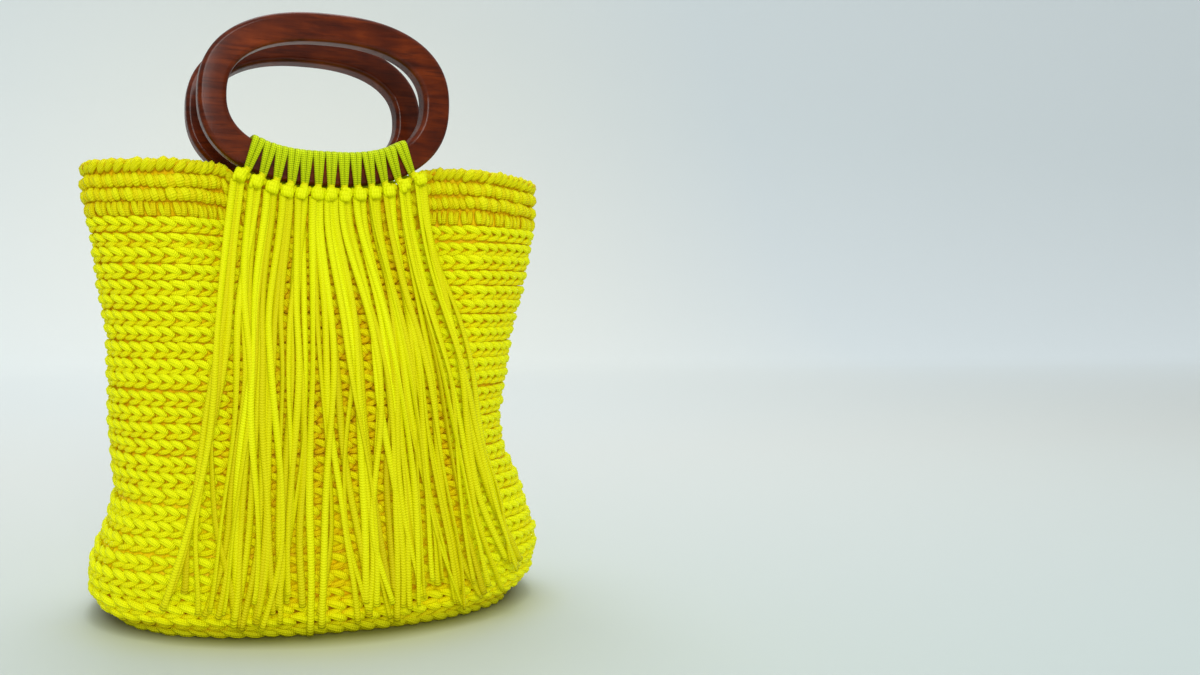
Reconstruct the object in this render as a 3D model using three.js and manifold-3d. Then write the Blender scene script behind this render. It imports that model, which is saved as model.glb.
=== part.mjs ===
// Crochet tote bag with two oval wooden ring handles, cord ties and a front fringe.
// Millimetres. X runs along the bag's width, Y from the front (negative) to the back, Z up from the floor.

import * as THREE from 'three';
import * as BufferGeometryUtils from 'three/addons/utils/BufferGeometryUtils.js';
import Module from 'manifold-3d';

const wasm = await Module();
wasm.setup();

// Driving dimensions of the crocheted body
const bagHeight = 315;          // floor to the rim at the bag's two ends
const rimWidth = 350;           // end to end over the rim
const bulgeDepth = 156;         // front to back over the bulge above the base
const wallThickness = 8;        // crocheted fabric, measured at a rib
const ribDepth = 2.6;           // from a rib's crest down to the groove beside it
const rimBandHeight = 39;       // the tighter rounds along the rim
const rimBandRounds = 4;
const wallRounds = 26;
const tieMargin = 14;           // how far past the outer ties the wall stays straight
const shoulderWidth = 38;       // and how far it then takes to swing back out
const dipMargin = 6;            // how far past the outer ties the rim's top edge stays low
const dipShoulder = 10;         // and how far it then takes to rise
const swellLeft = 2;            // how much higher than at its ends the rim is beside the ties
const swellRight = 6;

// Driving dimensions of the ring handles
const handleWidth = 186.5;
const handleHeight = 122;
const handleBand = 20.3;        // width of the wood, seen from the front
const handleThickness = 15.6;   // front face to back face
const handleRounding = 3.6;     // rounded edges
const handleSpread = 51;        // between the two rings' middle planes, at half height
const handleLean = 3.4;         // degrees, each ring's top away from the other ring
const frontShift = -3.5;        // the front ring's middle, right of the bag's middle
const backShift = -6.5;         // and the back ring's
const handleRise = 49;          // from the rim's ends up to the middle of the rings
const handlePower = 2.37;       // 2 is an ellipse, more is squarer

// Driving dimensions of the cord ties
const tieCount = 13;            // on each handle
const tiePitch = 9.45;          // along the bag, at the middle of the wood
const tieMiddle = -0.8;         // middle tie, right of the bag's middle
const loopWidthTop = 8.3;       // inside the ring
const loopWidthBottom = 6.4;    // below the bar
const loopThickness = 2.6;
const collarRadius = 3.4;
const knotRadius = 4.5;
const knotDrop = 4.4;           // from the rim's top edge down to the middle of a knot

// Driving dimensions of the fringe
const lockWidthTop = 8.6;
const lockWidthBottom = 13.5;
const lockThickness = 4.6;
const headHeight = 4;
const fringeWidth = 193;        // between the outer locks' middles, at the floor
const fringeDrift = 6;          // how far the ends hang to the right of the head

const clearance = 0.3;          // between neighbouring pieces
const loopEase = 0.5;           // between the wood and the inside of a loop
const seatEase = 1.0;           // between the rim's top edge and the loops above it
const bodySegments = 40;
const handleSegments = 48;

// The body's outline at each height. Height is a share of bagHeight, left and right are shares of half
// the rim's width, depth is a share of half the bulge's depth, and power shapes the plan view, where 2 is
// an ellipse and more is squarer.
const bodySections = [
  { height: 0.00, left: 0.800, right: 0.810, depth: 0.95, power: 2.3 },
  { height: 0.02, left: 0.895, right: 0.890, depth: 0.99, power: 2.3 },
  { height: 0.05, left: 0.940, right: 0.950, depth: 1.00, power: 2.35 },
  { height: 0.10, left: 0.957, right: 0.989, depth: 1.00, power: 2.4 },
  { height: 0.16, left: 0.925, right: 0.987, depth: 0.97, power: 2.5 },
  { height: 0.21, left: 0.885, right: 0.947, depth: 0.94, power: 2.5 },
  { height: 0.28, left: 0.857, right: 0.906, depth: 0.90, power: 2.5 },
  { height: 0.35, left: 0.873, right: 0.840, depth: 0.86, power: 2.5 },
  { height: 0.43, left: 0.886, right: 0.820, depth: 0.83, power: 2.4 },
  { height: 0.52, left: 0.889, right: 0.853, depth: 0.79, power: 2.4 },
  { height: 0.62, left: 0.894, right: 0.880, depth: 0.75, power: 2.4 },
  { height: 0.72, left: 0.930, right: 0.934, depth: 0.71, power: 2.4 },
  { height: 0.82, left: 0.957, right: 0.977, depth: 0.67, power: 2.4 },
  { height: 0.90, left: 0.989, right: 0.997, depth: 0.62, power: 2.4 },
  { height: 1.00, left: 0.997, right: 1.000, depth: 0.57, power: 2.4 },
];

// Shares of bagHeight at which the inside of the wall is modelled, from the rim down.
const insideHeights = [0.94, 0.84, 0.72, 0.58, 0.43, 0.3, 0.2, 0.1];

// Shares of bagHeight at which the locks of the fringe end, from left to right.
const lockEnds = [0.05, 0.022, 0.03, 0.012, 0.045, 0.006, 0.03, 0.018, 0.04, 0.05, 0.022, 0.035, 0.075];

const lockSteps = 10;
const lockFan = 0.8;            // below 1 the locks spread sooner under their knots
const pinchFrom = 0.50;         // share of bagHeight where the wall starts to lean in to the handles
const pinchUpTo = 0.92;         // and where it is upright under them
const dipFrom = 0.78;           // share of bagHeight from which the rounds follow the rim's dip

const handleZ = bagHeight + handleRise;
const lean = THREE.MathUtils.degToRad(handleLean);
const barHalf = handleBand / 2;
const loopWall = loopEase + loopThickness;
const loopTilt = 0.85;          // share of the wood's own slant that the outer loops take
const knotReach = barHalf + loopWall + seatEase + knotDrop;
const centreHalfWidth = handleWidth / 2 - barHalf;
const centreHalfHeight = handleHeight / 2 - barHalf;
const rimReach = handleSpread / 2 - (centreHalfHeight + knotReach) * Math.sin(lean) + wallThickness / 2;

// Each material is the colour and finish of one kind of surface.
const cordMaterial = new THREE.MeshStandardMaterial({ color: 0xe2e40c, roughness: 0.62, metalness: 0 });
const tieMaterial = new THREE.MeshStandardMaterial({ color: 0xb9cc12, roughness: 0.6, metalness: 0 });
const woodMaterial = new THREE.MeshStandardMaterial({ color: 0x5a2a17, roughness: 0.28, metalness: 0 });

// A point of a closed curve between an ellipse and a rectangle.
function superPoint(angle, halfAcross, halfUp, power) {
  const c = Math.cos(angle);
  const s = Math.sin(angle);
  const across = halfAcross * Math.sign(c) * Math.abs(c) ** (2 / power);
  const up = halfUp * Math.sign(s) * Math.abs(s) ** (2 / power);
  return new THREE.Vector2(across, up);
}

// Angles that divide such a curve into even lengths.
function evenAngles(count, halfAcross, halfUp, power) {
  const fine = 2880;
  const lengths = [0];
  for (let step = 1; step <= fine; step += 1) {
    const before = superPoint(((step - 1) / fine) * 2 * Math.PI, halfAcross, halfUp, power);
    const after = superPoint((step / fine) * 2 * Math.PI, halfAcross, halfUp, power);
    lengths.push(lengths[step - 1] + before.distanceTo(after));
  }
  const angles = [];
  let step = 0;
  for (let index = 0; index < count; index += 1) {
    const target = (index / count) * lengths[fine];
    while (lengths[step + 1] < target) {
      step += 1;
    }
    const part = (target - lengths[step]) / (lengths[step + 1] - lengths[step]);
    angles.push(((step + part) / fine) * 2 * Math.PI);
  }
  return angles;
}

// Joins rings of points into one solid. The points turn counterclockwise about the way the rings advance.
function loftGeometry(rings, startCentre, endCentre) {
  const count = rings[0].length;
  const positions = [];
  for (const ring of rings) {
    for (const point of ring) {
      positions.push(point.x, point.y, point.z);
    }
  }
  positions.push(startCentre.x, startCentre.y, startCentre.z, endCentre.x, endCentre.y, endCentre.z);
  const start = rings.length * count;
  const end = start + 1;
  const last = start - count;
  const indices = [];
  for (let i = 0; i < count; i += 1) {
    const j = (i + 1) % count;
    indices.push(start, j, i);
    indices.push(end, last + i, last + j);
    for (let k = 0; k < last; k += count) {
      indices.push(k + i, k + j, k + count + j);
      indices.push(k + i, k + count + j, k + count + i);
    }
  }
  const geometry = new THREE.BufferGeometry();
  geometry.setAttribute('position', new THREE.Float32BufferAttribute(positions, 3));
  geometry.setIndex(indices);
  return geometry;
}

function toSolid(geometry) {
  const plain = geometry.clone();
  plain.deleteAttribute('normal');
  plain.deleteAttribute('uv');
  const merged = BufferGeometryUtils.mergeVertices(plain, 1e-4);
  const vertProperties = new Float32Array(merged.attributes.position.array);
  const triVerts = new Uint32Array(merged.index.array);
  return new wasm.Manifold(new wasm.Mesh({ numProp: 3, vertProperties, triVerts }));
}

function joinGeometries(geometries) {
  const solids = geometries.map(toSolid);
  const joined = solids.slice(1).reduce((whole, solid) => whole.add(solid), solids[0]);
  const mesh = joined.getMesh();
  const geometry = new THREE.BufferGeometry();
  geometry.setAttribute('position', new THREE.BufferAttribute(mesh.vertProperties, 3));
  geometry.setIndex(new THREE.BufferAttribute(mesh.triVerts, 1));
  return geometry;
}

function namedMesh(name, geometry, material) {
  geometry.computeVertexNormals();
  const mesh = new THREE.Mesh(geometry, material);
  mesh.name = name;
  return mesh;
}

// The body's half widths, half depth and power at a share of its height.
function sectionAt(share) {
  const clamped = THREE.MathUtils.clamp(share, 0, 1);
  const upper = Math.max(1, bodySections.findIndex((section) => section.height >= clamped));
  const low = bodySections[upper - 1];
  const high = bodySections[upper];
  const part = (clamped - low.height) / (high.height - low.height);
  return {
    left: (rimWidth / 2) * THREE.MathUtils.lerp(low.left, high.left, part),
    right: (rimWidth / 2) * THREE.MathUtils.lerp(low.right, high.right, part),
    depth: (bulgeDepth / 2) * THREE.MathUtils.lerp(low.depth, high.depth, part),
    power: THREE.MathUtils.lerp(low.power, high.power, part),
  };
}

// How far it is from a place in the wood, along a slanted line, to the ring's outline or, with the band's
// width as the inset, to the edge of its opening.
function distanceToEdge(across, down, tilt, inset) {
  const direction = inset > 0 ? -1 : 1;
  let near = 0;
  let far = 2 * handleBand;
  for (let pass = 0; pass < 30; pass += 1) {
    const middle = (near + far) / 2;
    const x = (across + direction * middle * Math.sin(tilt)) / (handleWidth / 2 - inset);
    const z = (down + direction * middle * Math.cos(tilt)) / (handleHeight / 2 - inset);
    const within = Math.abs(x) ** handlePower + Math.abs(z) ** handlePower < 1;
    if (within === (direction > 0)) {
      near = middle;
    } else {
      far = middle;
    }
  }
  return far;
}

// Where a tie sits: the middle of the wood's lower bar, from the ring's centre, its tilt off the vertical,
// and how far the wood reaches above and below that middle over the loop's width.
function barPoint(across) {
  const share = THREE.MathUtils.clamp(Math.abs(across) / centreHalfWidth, 0, 0.97);
  const down = centreHalfHeight * (1 - share ** handlePower) ** (1 / handlePower);
  const slopeAcross = share ** (handlePower - 1) / centreHalfWidth;
  const slopeDown = (down / centreHalfHeight) ** (handlePower - 1) / centreHalfHeight;
  const tilt = loopTilt * Math.sign(across) * Math.atan2(slopeAcross, slopeDown);
  const reachOver = (inset, width) => Math.max(...[-0.5, 0, 0.5].map((part) => {
    const beside = part * width;
    return distanceToEdge(across + beside * Math.cos(tilt), down - beside * Math.sin(tilt), tilt, inset);
  }));
  const above = reachOver(handleBand, loopWidthTop);
  const below = reachOver(0, loopWidthBottom);
  return { across, down, tilt, above, below };
}

// A point below the bar at one tie, in the bag's frame: outward is measured from the middle of the wood.
function belowBar(shift, spot, outward) {
  const x = shift + spot.across + outward * Math.sin(spot.tilt);
  const z = handleZ - (spot.down + outward * Math.cos(spot.tilt)) * Math.cos(lean);
  return new THREE.Vector2(x, z);
}

// A handle's place, its ties, and the line that the rim's top edge follows below them.
function planHandle(label, side, shift) {
  const spots = [];
  for (let index = 0; index < tieCount; index += 1) {
    spots.push(barPoint(tieMiddle - shift + (index - (tieCount - 1) / 2) * tiePitch));
  }
  const seatLine = spots.map((spot) => belowBar(shift, spot, spot.below + loopWall + seatEase));
  return { label, side, shift, spots, seatLine, from: seatLine[0].x, to: seatLine[tieCount - 1].x };
}

const front = planHandle('front', -1, frontShift);
const back = planHandle('back', 1, backShift);

// 1 along a handle's ties and for a margin past them, falling to 0 over a shoulder.
function nearTies(handle, x, margin, shoulder) {
  const past = Math.max(handle.from - x, x - handle.to, 0);
  return 1 - THREE.MathUtils.smoothstep(past, margin, margin + shoulder);
}

// The rim's top edge follows the ties, rises beside them and runs down to the bag's height at its ends.
function rimTop(handle, x) {
  const held = THREE.MathUtils.clamp(x, handle.from, handle.to);
  const after = Math.max(1, handle.seatLine.findIndex((point) => point.x >= held));
  const low = handle.seatLine[after - 1];
  const high = handle.seatLine[after];
  const seat = THREE.MathUtils.mapLinear(held, low.x, high.x, low.y, high.y);
  const towardsEnd = THREE.MathUtils.clamp((Math.abs(x) - handle.to) / (rimWidth / 2 - handle.to), 0, 1);
  const swell = (x < 0 ? swellLeft : swellRight) * (1 - towardsEnd ** 2);
  return THREE.MathUtils.lerp(bagHeight + swell, seat, nearTies(handle, x, dipMargin, dipShoulder));
}

// How far a round lies above its even height, because the rounds near the rim follow its top edge.
function roundLift(handle, x, share) {
  return (rimTop(handle, x) - bagHeight) * THREE.MathUtils.smoothstep(share, dipFrom, 1);
}

// How much a handle pulls the wall in, from 0 to 1.
function wallHold(handle, x, share) {
  const along = nearTies(handle, x, tieMargin, shoulderWidth);
  return along * THREE.MathUtils.smoothstep(share, pinchFrom, pinchUpTo);
}

// One point of the wall: inset is measured inwards from the ribs' crests.
function wallPoint(angle, share, inset) {
  const section = sectionAt(share);
  const half = Math.cos(angle) < 0 ? section.left : section.right;
  const plan = superPoint(angle, half - inset, section.depth - inset, section.power);
  const handle = plan.y < 0 ? front : back;
  const reach = THREE.MathUtils.lerp(Math.abs(plan.y), rimReach - inset, wallHold(handle, plan.x, share));
  return new THREE.Vector3(plan.x, handle.side * reach, share * bagHeight + roundLift(handle, plan.x, share));
}

// How far forward the ribs reach at a place on the front.
function frontReach(x, z) {
  let share = z / bagHeight;
  for (let pass = 0; pass < 4; pass += 1) {
    share = (z - roundLift(front, x, share)) / bagHeight;
  }
  const section = sectionAt(share);
  const half = x < 0 ? section.left : section.right;
  const free = section.depth * (1 - Math.min(Math.abs(x) / half, 1) ** section.power) ** (1 / section.power);
  return THREE.MathUtils.lerp(free, rimReach, wallHold(front, x, share));
}

// Heights of the grooves between the rounds, as shares of the bag's height.
function roundEdges() {
  const edges = [];
  const wallShare = 1 - rimBandHeight / bagHeight;
  for (let index = 0; index < wallRounds; index += 1) {
    edges.push((wallShare * index) / wallRounds);
  }
  for (let index = 0; index <= rimBandRounds; index += 1) {
    edges.push(wallShare + ((1 - wallShare) * index) / rimBandRounds);
  }
  return edges;
}

function makeBody() {
  const angles = evenAngles(bodySegments, rimWidth / 2, bulgeDepth / 2, 2.5);
  const ringAt = (share, inset) => angles.map((angle) => wallPoint(angle, share, inset));
  const edges = roundEdges();
  const rings = [ringAt(0, ribDepth)];
  for (let index = 1; index < edges.length; index += 1) {
    rings.push(ringAt((edges[index - 1] + edges[index]) / 2, 0));
    if (index < edges.length - 1) {
      rings.push(ringAt(edges[index], ribDepth));
    }
  }
  rings.push(ringAt(1, wallThickness * 0.35));
  rings.push(ringAt(1, wallThickness * 0.65));
  for (const share of insideHeights) {
    rings.push(ringAt(share, wallThickness));
  }
  const floorShare = wallThickness / bagHeight;
  rings.push(ringAt(floorShare, wallThickness * 1.5));
  const under = new THREE.Vector3(0, 0, 0);
  const inside = new THREE.Vector3(0, 0, wallThickness);
  return namedMesh('crochet_body', loftGeometry(rings, under, inside), cordMaterial);
}

// An oval ring outline, extruded with rounded edges, standing on its lower bar and centred on its own middle.
function handleGeometry() {
  const edge = handleRounding;
  const outline = (halfAcross, halfUp) => {
    const angles = evenAngles(handleSegments, halfAcross, halfUp, handlePower);
    return angles.map((angle) => superPoint(angle, halfAcross, halfUp, handlePower));
  };
  const shape = new THREE.Shape(outline(handleWidth / 2 - edge, handleHeight / 2 - edge));
  const holeWidth = handleWidth / 2 - handleBand + edge;
  const holeHeight = handleHeight / 2 - handleBand + edge;
  shape.holes.push(new THREE.Path(outline(holeWidth, holeHeight)));
  const depth = handleThickness - 2 * edge;
  const settings = { depth, bevelEnabled: true, bevelThickness: edge, bevelSize: edge, bevelSegments: 1 };
  const geometry = new THREE.ExtrudeGeometry(shape, settings);
  geometry.translate(0, 0, -depth / 2);
  geometry.rotateX(Math.PI / 2);
  return geometry;
}

// A section of the wooden bar grown by a distance: a rectangle with cut corners, in the plane of Y and Z.
function barOutline(spot, grown) {
  const y = handleThickness / 2 + grown;
  const top = spot.above + grown;
  const bottom = -spot.below - grown;
  const corner = handleRounding * 0.6 + grown * 0.5;
  return [
    new THREE.Vector2(-y + corner, bottom), new THREE.Vector2(y - corner, bottom),
    new THREE.Vector2(y, bottom + corner), new THREE.Vector2(y, top - corner),
    new THREE.Vector2(y - corner, top), new THREE.Vector2(-y + corner, top),
    new THREE.Vector2(-y, top - corner), new THREE.Vector2(-y, bottom + corner),
  ];
}

// A cord loop round the bar with its collar and its knot. Z is up from the middle of the wood, -Y is out.
function tieGeometry(spot) {
  const shape = new THREE.Shape(barOutline(spot, loopWall));
  shape.holes.push(new THREE.Path(barOutline(spot, loopEase)));
  const loop = new THREE.ExtrudeGeometry(shape, { depth: 1, bevelEnabled: false });
  loop.translate(0, 0, -0.5);
  loop.applyMatrix4(new THREE.Matrix4().makeBasis(
    new THREE.Vector3(0, 1, 0), new THREE.Vector3(0, 0, 1), new THREE.Vector3(1, 0, 0)));
  const loopBottom = -spot.below - loopWall;
  const loopTop = spot.above + loopWall;
  const place = loop.attributes.position;
  for (let index = 0; index < place.count; index += 1) {
    const up = THREE.MathUtils.mapLinear(place.getZ(index), loopBottom, loopTop, 0, 1);
    place.setX(index, place.getX(index) * THREE.MathUtils.lerp(loopWidthBottom, loopWidthTop, up));
  }
  const knotY = -(wallThickness / 2 + clearance + knotRadius);
  const knotZ = loopBottom - seatEase - knotDrop;
  const knot = new THREE.IcosahedronGeometry(knotRadius, 0);
  knot.translate(0, knotY, knotZ);
  const collar = new THREE.OctahedronGeometry(collarRadius, 0);
  collar.translate(0, knotY, loopBottom - seatEase / 2);
  return joinGeometries([loop, collar, knot]);
}

// A handle with its ties, as one group that leans as the ring does. Side is -1 in front and 1 behind.
function makeHandle({ label, side, shift, spots }) {
  const group = new THREE.Group();
  group.position.set(shift, (side * handleSpread) / 2, handleZ);
  group.rotation.set(-side * lean, 0, side > 0 ? Math.PI : 0);
  group.add(namedMesh(`handle_${label}`, handleGeometry(), woodMaterial));
  spots.forEach((spot, index) => {
    const number = String(index + 1).padStart(2, '0');
    const tie = namedMesh(`tie_${label}_${number}`, tieGeometry(spot), tieMaterial);
    tie.position.set(-side * spot.across, 0, -spot.down);
    tie.rotation.y = side * spot.tilt;
    group.add(tie);
  });
  return group;
}

// A rectangle of corners about a middle point, turning counterclockwise about the direction across x up.
function cornerRing(middle, across, up) {
  return [[-1, -1], [1, -1], [1, 1], [-1, 1]].map(([a, b]) => (
    middle.clone().addScaledVector(across, a / 2).addScaledVector(up, b / 2)));
}

// The middle of the fringe's layer at a place on the front, clear of the wall over a width and a height.
function layerPoint(x, z, width, height) {
  const steps = [-0.5, 0, 0.5];
  const reaches = steps.flatMap((a) => steps.map((b) => frontReach(x + a * width, z + b * height)));
  return new THREE.Vector3(x, -(Math.max(...reaches) + 2 * clearance + lockThickness / 2), z);
}

function makeFringe() {
  const underKnot = loopWall + seatEase + knotDrop + knotRadius + clearance + headHeight / 2;
  const headLine = front.spots.map((spot) => belowBar(front.shift, spot, spot.below + underKnot));
  const headAcross = new THREE.Vector3(0, lockThickness, 0);
  const headUp = new THREE.Vector3(0, 0, headHeight);
  const ends = [headLine[0].x - lockWidthTop / 2, headLine[tieCount - 1].x + lockWidthTop / 2];
  const headPlaces = [new THREE.Vector2(ends[0], headLine[0].y), ...headLine,
    new THREE.Vector2(ends[1], headLine[tieCount - 1].y)];
  const headRings = headPlaces.map((place) => (
    cornerRing(layerPoint(place.x, place.y, 2 * lockWidthTop, 2 * headHeight), headAcross, headUp)));
  const middleOf = (ring) => ring[0].clone().add(ring[2]).multiplyScalar(0.5);
  const pieces = [loftGeometry(headRings, middleOf(headRings[0]), middleOf(headRings[headRings.length - 1]))];

  const widening = fringeWidth / (tiePitch * (tieCount - 1));
  headLine.forEach((top, index) => {
    const low = bagHeight * lockEnds[index % lockEnds.length];
    const rings = [];
    for (let step = 0; step <= lockSteps; step += 1) {
      const rise = step / lockSteps;
      const z = THREE.MathUtils.lerp(low, top.y, rise);
      const fan = rise ** lockFan;
      const x = top.x * THREE.MathUtils.lerp(widening, 1, fan) + fringeDrift * (1 - fan);
      const width = THREE.MathUtils.lerp(lockWidthBottom, lockWidthTop, rise);
      const middle = layerPoint(x, z, width, (top.y - low) / lockSteps);
      rings.push(cornerRing(middle, new THREE.Vector3(width, 0, 0), new THREE.Vector3(0, lockThickness, 0)));
    }
    pieces.push(loftGeometry(rings, middleOf(rings[0]), middleOf(rings[lockSteps])));
  });
  return namedMesh('fringe_front', joinGeometries(pieces), cordMaterial);
}

const bag = new THREE.Group();
bag.add(makeBody());
bag.add(makeHandle(front));
bag.add(makeHandle(back));
bag.add(makeFringe());

// The origin is on the floor, under the middle of the bag's box.
const extent = new THREE.Box3().setFromObject(bag, true);
const middle = extent.getCenter(new THREE.Vector3());
bag.position.set(-middle.x, -middle.y, -extent.min.z);

export default bag;
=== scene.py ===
import math
from functools import partialmethod
import bpy
import numpy as np
from mathutils import Matrix, Vector


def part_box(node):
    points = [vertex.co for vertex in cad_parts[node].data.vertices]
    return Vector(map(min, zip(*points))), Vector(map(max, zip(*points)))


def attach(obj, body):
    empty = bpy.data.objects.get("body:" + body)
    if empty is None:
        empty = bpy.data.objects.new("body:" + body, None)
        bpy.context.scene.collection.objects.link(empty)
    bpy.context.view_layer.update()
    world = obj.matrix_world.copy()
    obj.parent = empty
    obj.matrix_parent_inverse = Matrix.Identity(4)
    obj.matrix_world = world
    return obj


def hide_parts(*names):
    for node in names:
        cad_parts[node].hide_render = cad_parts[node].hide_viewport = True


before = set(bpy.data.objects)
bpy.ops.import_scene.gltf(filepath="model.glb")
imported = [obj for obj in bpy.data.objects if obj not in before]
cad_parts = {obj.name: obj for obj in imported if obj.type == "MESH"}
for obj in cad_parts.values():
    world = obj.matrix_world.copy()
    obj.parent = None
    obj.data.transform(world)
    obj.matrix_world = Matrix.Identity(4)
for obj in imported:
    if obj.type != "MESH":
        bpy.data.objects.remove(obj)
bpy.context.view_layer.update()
bpy.ops.object.select_all(action="DESELECT")
rng = np.random.default_rng(26)
print("frame loaded:", len(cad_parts), "CAD nodes")

# The dictionaries hold millimetres, and meshes are made in metres.
mm = 0.001

bag = {
    "height": 315, "rimWidth": 350, "bulgeDepth": 156, "wall": 8,
    "rimBand": 39, "rimRounds": 4, "wallRounds": 26,
    "tieMargin": 14, "shoulder": 38, "dipMargin": 6, "dipShoulder": 10, "swellLeft": 2, "swellRight": 6,
    "pinchFrom": 0.5, "pinchUpTo": 0.92, "dipFrom": 0.78,
}

# The body's outline: shares of its height, of half its width to the left and right, and of half its depth.
# The power makes each section squarer than an ellipse.
outline = {
    "height": [0, .02, .05, .1, .16, .21, .28, .35, .43, .52, .62, .72, .82, .9, 1],
    "left": [.8, .895, .94, .957, .925, .885, .857, .873, .886, .889, .894, .93, .957, .989, .997],
    "right": [.81, .89, .95, .989, .987, .947, .906, .84, .82, .853, .88, .934, .977, .997, 1],
    "depth": [.95, .99, 1, 1, .97, .94, .9, .86, .83, .79, .75, .71, .67, .62, .57],
    "power": [2.3, 2.3, 2.35, 2.4, 2.5, 2.5, 2.5, 2.5, 2.4, 2.4, 2.4, 2.4, 2.4, 2.4, 2.4],
}

ring = {
    "width": 186.5, "height": 122, "band": 20.3, "thickness": 15.6, "rounding": 3.6,
    "spread": 51, "lean": 3.4, "frontShift": -3.5, "backShift": -6.5, "rise": 49, "power": 2.37,
    "segments": 160,
}

tie = {
    "count": 13, "pitch": 9.45, "middle": -0.8, "widthTop": 8.3, "widthBottom": 6.4, "thickness": 2.6,
    "ease": 0.5, "seat": 1, "slant": 0.85, "clearance": 0.3, "knotRadius": 4.5, "knotDrop": 4.4,
}

lean = math.radians(ring["lean"])
barHalf = ring["band"] / 2
loopWall = tie["ease"] + tie["thickness"]
knotReach = barHalf + loopWall + tie["seat"] + tie["knotDrop"]
midWidth = ring["width"] / 2 - barHalf
midHeight = ring["height"] / 2 - barHalf
ringZ = bag["height"] + ring["rise"]
rimReach = ring["spread"] / 2 - (midHeight + knotReach) * math.sin(lean) + bag["wall"] / 2

# The frame's origin is under the middle of the whole bag, a little off the body's own middle.
bodyLow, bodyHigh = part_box("crochet_body")
origin = np.array([bodyHigh.x / mm - bag["rimWidth"] / 2, (bodyLow.y + bodyHigh.y) / 2 / mm, 0])


def unit(vectors):
    return vectors / np.linalg.norm(vectors, axis=-1, keepdims=True)


def smoothStep(value, low, high):
    part = np.clip((value - low) / (high - low), 0, 1)
    return part * part * (3 - 2 * part)


def mix(low, high, part):
    return low + (high - low) * part


def setMode(mode):
    bpy.ops.object.mode_set(mode=mode)


def tell(piece):
    print(piece.name, len(piece.data.polygons), "faces")


# How far it is from a place in the wood to the ring's outline, or with an inset to its opening.
def edgeReach(across, down, tilt, inset):
    direction = -1 if inset > 0 else 1
    near, far = 0, 2 * ring["band"]
    for _ in range(30):
        middle = (near + far) / 2
        x = (across + direction * middle * math.sin(tilt)) / (ring["width"] / 2 - inset)
        z = (down + direction * middle * math.cos(tilt)) / (ring["height"] / 2 - inset)
        within = abs(x) ** ring["power"] + abs(z) ** ring["power"] < 1
        if within == (direction > 0):
            near = middle
        else:
            far = middle
    return far


# Where a tie sits on a ring's lower bar, and how far the wood reaches above and below there.
def barSpot(across):
    share = min(abs(across) / midWidth, 0.97)
    down = midHeight * (1 - share ** ring["power"]) ** (1 / ring["power"])
    slopeAcross = share ** (ring["power"] - 1) / midWidth
    slopeDown = (down / midHeight) ** (ring["power"] - 1) / midHeight
    tilt = tie["slant"] * math.copysign(math.atan2(slopeAcross, slopeDown), across)

    def reachOver(inset, width):
        reaches = []
        for part in (-0.5, 0, 0.5):
            beside = part * width
            place = (across + beside * math.cos(tilt), down - beside * math.sin(tilt))
            reaches.append(edgeReach(*place, tilt, inset))
        return max(reaches)

    above = reachOver(ring["band"], tie["widthTop"])
    below = reachOver(0, tie["widthBottom"])
    return {"across": across, "down": down, "tilt": tilt, "above": above, "below": below}


def belowBar(shift, spot, outward):
    x = shift + spot["across"] + outward * math.sin(spot["tilt"])
    z = ringZ - (spot["down"] + outward * math.cos(spot["tilt"])) * math.cos(lean)
    return x, z


def planHandle(label, side, shift):
    middle = (tie["count"] - 1) / 2
    places = [tie["middle"] - shift + (index - middle) * tie["pitch"] for index in range(tie["count"])]
    spots = [barSpot(place) for place in places]
    seat = [belowBar(shift, spot, spot["below"] + loopWall + tie["seat"]) for spot in spots]
    seatX, seatZ = np.array(seat).T
    return {"label": label, "side": side, "shift": shift, "spots": spots, "seatX": seatX, "seatZ": seatZ}


front = planHandle("front", -1, ring["frontShift"])
back = planHandle("back", 1, ring["backShift"])


def nearTies(plan, x, margin, shoulder):
    past = np.maximum(np.maximum(plan["seatX"][0] - x, x - plan["seatX"][-1]), 0)
    return 1 - smoothStep(past, margin, margin + shoulder)


def rimTop(plan, x):
    seat = np.interp(x, plan["seatX"], plan["seatZ"])
    last = plan["seatX"][-1]
    towardsEnd = np.clip((abs(x) - last) / (bag["rimWidth"] / 2 - last), 0, 1)
    swell = np.where(x < 0, bag["swellLeft"], bag["swellRight"]) * (1 - towardsEnd ** 2)
    return mix(bag["height"] + swell, seat, nearTies(plan, x, bag["dipMargin"], bag["dipShoulder"]))


def roundLift(plan, x, share):
    return (rimTop(plan, x) - bag["height"]) * smoothStep(share, bag["dipFrom"], 1)


def wallHold(plan, x, share):
    along = nearTies(plan, x, bag["tieMargin"], bag["shoulder"])
    return along * smoothStep(share, bag["pinchFrom"], bag["pinchUpTo"])


def column(name, share):
    return np.interp(share, outline["height"], outline[name])


def sideReach(share, side):
    return np.where(side < 0, column("left", share), column("right", share)) * bag["rimWidth"] / 2


# Points of the wall, with the inset measured inwards from the crests of the stitches.
def wallPoint(angle, share, inset):
    c, s = np.cos(angle), np.sin(angle)
    half = sideReach(share, c)
    depth = column("depth", share) * bag["bulgeDepth"] / 2
    power = 2 / column("power", share)
    x = (half - inset) * np.sign(c) * np.abs(c) ** power
    y = (depth - inset) * np.abs(s) ** power
    side = np.where(s < 0, -1, 1)
    hold = np.where(s < 0, wallHold(front, x, share), wallHold(back, x, share))
    lift = np.where(s < 0, roundLift(front, x, share), roundLift(back, x, share))
    return np.stack([x, side * mix(y, rimReach - inset, hold), share * bag["height"] + lift], -1)


def frontReach(x, z):
    share = z / bag["height"]
    for _ in range(4):
        share = (z - roundLift(front, x, share)) / bag["height"]
    power = column("power", share)
    rounding = (1 - np.minimum(abs(x) / sideReach(share, x), 1) ** power) ** (1 / power)
    free = column("depth", share) * bag["bulgeDepth"] / 2 * rounding
    return mix(free, rimReach, wallHold(front, x, share))


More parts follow.
